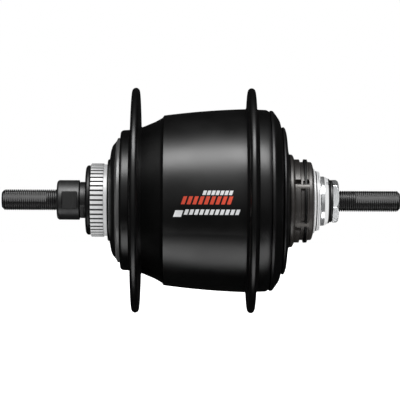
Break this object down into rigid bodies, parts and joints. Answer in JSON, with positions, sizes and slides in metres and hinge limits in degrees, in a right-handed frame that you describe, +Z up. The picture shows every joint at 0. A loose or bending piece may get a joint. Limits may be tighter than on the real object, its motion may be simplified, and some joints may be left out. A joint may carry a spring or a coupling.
{
  "type": "bicycle hub gear",
  "caption": "Internal-gear rear bicycle hub with spoke flanges, a splined disc-rotor mount on one side and a sprocket driver on the other, on a threaded axle.",
  "frame": {"origin": "middle of the axle, on its centreline", "axes": "+X along the axle toward the sprocket side, +Z up, -Y toward the viewer of the side view"},
  "size_m": [0.187, 0.1054, 0.1054],
  "materials": {
    "shell_paint": "satin black paint",
    "black_steel": "black oxide",
    "bright_steel": "bright zinc",
    "driver_steel": "heat treated, warm dark grey",
    "gear_steel": "ground and oiled",
    "spring_steel": "drawn wire and strip",
    "alloy": "machined silver",
    "black_plastic": "moulded, satin"
  },
  "bodies": {
    "axle_assembly": {"axle": "black_steel", "left_locknut": "black_steel", "left_cone": "black_steel", "carrier_thrust_washer": "spring_steel", "sun_thrust_washer": "spring_steel", "large_sun_thrust_washer": "spring_steel", "spacer_tube": "gear_steel", "right_cone": "bright_steel", "cone_dust_disc": "bright_steel", "right_spacer": "black_steel", "right_locknut": "bright_steel", "sun_gear_large": "gear_steel", "clutch_spring": "spring_steel"},
    "shell_assembly": {"hub_shell": "shell_paint", "right_cover": "shell_paint", "right_dust_cap": "black_plastic", "shell_ratchet_ring": "gear_steel", "clutch_outer_ring": "gear_steel", "rotor_mount": "alloy", "left_ball_cup": "gear_steel", "rotor_mount_cap": "black_plastic", "rotor_seat_ring": "shell_paint", "rotor_mount_plate": "black_plastic"},
    "driver_assembly": {"driver": "driver_steel", "driver_dust_ring": "driver_steel", "sprocket_snap_ring": "black_steel"},
    "clutch_ring": {"clutch_ring": "gear_steel"},
    "shift_follower": {"shift_follower": "gear_steel"},
    "selector": {"selector": "bright_steel"},
    "carrier_assembly": {"planet_carrier": "gear_steel", "planet_pin_1": "bright_steel", "planet_pin_2": "bright_steel", "planet_pin_3": "bright_steel"},
    "planet_gear_1": {"planet_gear_1": "gear_steel"},
    "planet_gear_2": {"planet_gear_2": "gear_steel"},
    "planet_gear_3": {"planet_gear_3": "gear_steel"},
    "roller_clutch": {"roller_cage": "spring_steel", "roller_1": "bright_steel", "roller_2": "bright_steel", "roller_3": "bright_steel", "roller_4": "bright_steel", "roller_5": "bright_steel", "roller_6": "bright_steel"},
    "ring_assembly": {"ring_gear": "gear_steel", "ring_pawl_spring": "spring_steel"},
    "ring_pawl_1": {"ring_pawl_1": "spring_steel"},
    "ring_pawl_2": {"ring_pawl_2": "spring_steel"},
    "ring_pawl_3": {"ring_pawl_3": "spring_steel"},
    "sun_gear_small": {"sun_gear_small": "gear_steel"},
    "sun_pawl_large": {"sun_pawl_large": "spring_steel"},
    "sun_pawl_small": {"sun_pawl_small": "spring_steel"},
    "left_ball_retainer": {"left_ball_retainer": "bright_steel"},
    "right_ball_retainer": {"right_ball_retainer": "bright_steel"},
    "driver_ball_retainer": {"driver_ball_retainer": "bright_steel"}
  },
  "joints": [
    {"name": "shell_spin", "type": "hinge", "parent": "axle_assembly", "child": "shell_assembly", "pos_m": [0, 0, 0], "axis": [-1, 0, 0], "continuous": true},
    {"name": "ring_spin", "type": "hinge", "parent": "axle_assembly", "child": "ring_assembly", "pos_m": [0.016, 0, 0], "axis": [-1, 0, 0], "continuous": true},
    {"name": "driver_spin", "type": "hinge", "parent": "axle_assembly", "child": "driver_assembly", "pos_m": [0.04, 0, 0], "axis": [-1, 0, 0], "continuous": true},
    {"name": "carrier_spin", "type": "hinge", "parent": "axle_assembly", "child": "carrier_assembly", "pos_m": [-0.005, 0, 0], "axis": [-1, 0, 0], "continuous": true},
    {"name": "planet_1_spin", "type": "hinge", "parent": "carrier_assembly", "child": "planet_gear_1", "pos_m": [0.003, 0, 0.024], "axis": [-1, 0, 0], "continuous": true},
    {"name": "planet_2_spin", "type": "hinge", "parent": "carrier_assembly", "child": "planet_gear_2", "pos_m": [0.003, -0.02079, -0.012], "axis": [-1, 0, 0], "continuous": true},
    {"name": "planet_3_spin", "type": "hinge", "parent": "carrier_assembly", "child": "planet_gear_3", "pos_m": [0.003, 0.02079, -0.012], "axis": [-1, 0, 0], "continuous": true},
    {"name": "sun_small_spin", "type": "hinge", "parent": "axle_assembly", "child": "sun_gear_small", "pos_m": [-0.0025, 0, 0], "axis": [-1, 0, 0], "continuous": true},
    {"name": "left_balls_spin", "type": "hinge", "parent": "axle_assembly", "child": "left_ball_retainer", "pos_m": [-0.0436, 0, 0], "axis": [-1, 0, 0], "continuous": true},
    {"name": "right_balls_spin", "type": "hinge", "parent": "axle_assembly", "child": "right_ball_retainer", "pos_m": [0.0468, 0, 0], "axis": [-1, 0, 0], "continuous": true},
    {"name": "driver_balls_spin", "type": "hinge", "parent": "axle_assembly", "child": "driver_ball_retainer", "pos_m": [0.0333, 0, 0], "axis": [-1, 0, 0], "continuous": true},
    {"name": "shift_select", "type": "hinge", "parent": "axle_assembly", "child": "selector", "pos_m": [0.05, 0, 0], "axis": [-1, 0, 0], "range_deg": [0, 90]},
    {"name": "follower_slide", "type": "slide", "parent": "axle_assembly", "child": "shift_follower", "axis": [1, 0, 0], "range_m": [0, 0.004]},
    {"name": "clutch_slide", "type": "slide", "parent": "driver_assembly", "child": "clutch_ring", "axis": [1, 0, 0], "range_m": [0, 0.004], "deforming": ["clutch_spring"]},
    {"name": "sun_pawl_large_swing", "type": "hinge", "parent": "axle_assembly", "child": "sun_pawl_large", "pos_m": [0.0095, -0.00678, 0.00255], "axis": [-1, 0, 0], "range_deg": [0, 16]},
    {"name": "sun_pawl_small_swing", "type": "hinge", "parent": "axle_assembly", "child": "sun_pawl_small", "pos_m": [-0.0025, -0.00678, 0.00255], "axis": [1, 0, 0], "range_deg": [0, 5]},
    {"name": "roller_cage_turn", "type": "hinge", "parent": "carrier_assembly", "child": "roller_clutch", "pos_m": [-0.026, 0, 0], "axis": [-1, 0, 0], "range_deg": [0, 6], "stiffness_Nm_per_rad": 0.02},
    {"name": "ring_pawl_1_swing", "type": "hinge", "parent": "ring_assembly", "child": "ring_pawl_1", "pos_m": [0.0222, -0.00833, 0.03152], "axis": [-1, 0, 0], "range_deg": [0, 14], "stiffness_Nm_per_rad": 0.005},
    {"name": "ring_pawl_2_swing", "type": "hinge", "parent": "ring_assembly", "child": "ring_pawl_2", "pos_m": [0.0222, -0.02313, -0.02297], "axis": [-1, 0, 0], "range_deg": [0, 14], "stiffness_Nm_per_rad": 0.005},
    {"name": "ring_pawl_3_swing", "type": "hinge", "parent": "ring_assembly", "child": "ring_pawl_3", "pos_m": [0.0222, 0.03146, -0.00855], "axis": [-1, 0, 0], "range_deg": [0, 14], "stiffness_Nm_per_rad": 0.005}
  ],
  "couplings": [
    {"joint": "ring_spin", "follows": "shell_spin", "ratio": 1},
    {"joint": "driver_spin", "follows": "shell_spin", "ratio": 0.625},
    {"joint": "carrier_spin", "follows": "shell_spin", "ratio": 0.625},
    {"joint": "planet_1_spin", "follows": "shell_spin", "ratio": 1.875},
    {"joint": "planet_2_spin", "follows": "shell_spin", "ratio": 1.875},
    {"joint": "planet_3_spin", "follows": "shell_spin", "ratio": 1.875},
    {"joint": "sun_small_spin", "follows": "shell_spin", "ratio": -0.5},
    {"joint": "left_balls_spin", "follows": "shell_spin", "ratio": 0.573},
    {"joint": "right_balls_spin", "follows": "shell_spin", "ratio": 0.35},
    {"joint": "driver_balls_spin", "follows": "shell_spin", "ratio": 0.8264},
    {"joint": "follower_slide", "follows": "clutch_slide", "ratio": 1},
    {"joint": "shift_select", "follows": "clutch_slide", "rad_per_m": 392.6},
    {"joint": "sun_pawl_large_swing", "follows": "clutch_slide", "rad_per_m": 69.7},
    {"joint": "sun_pawl_small_swing", "follows": "clutch_slide", "rad_per_m": 21.8},
    {"joint": "ring_pawl_2_swing", "follows": "ring_pawl_1_swing", "ratio": 1},
    {"joint": "ring_pawl_3_swing", "follows": "ring_pawl_1_swing", "ratio": 1}
  ]
}
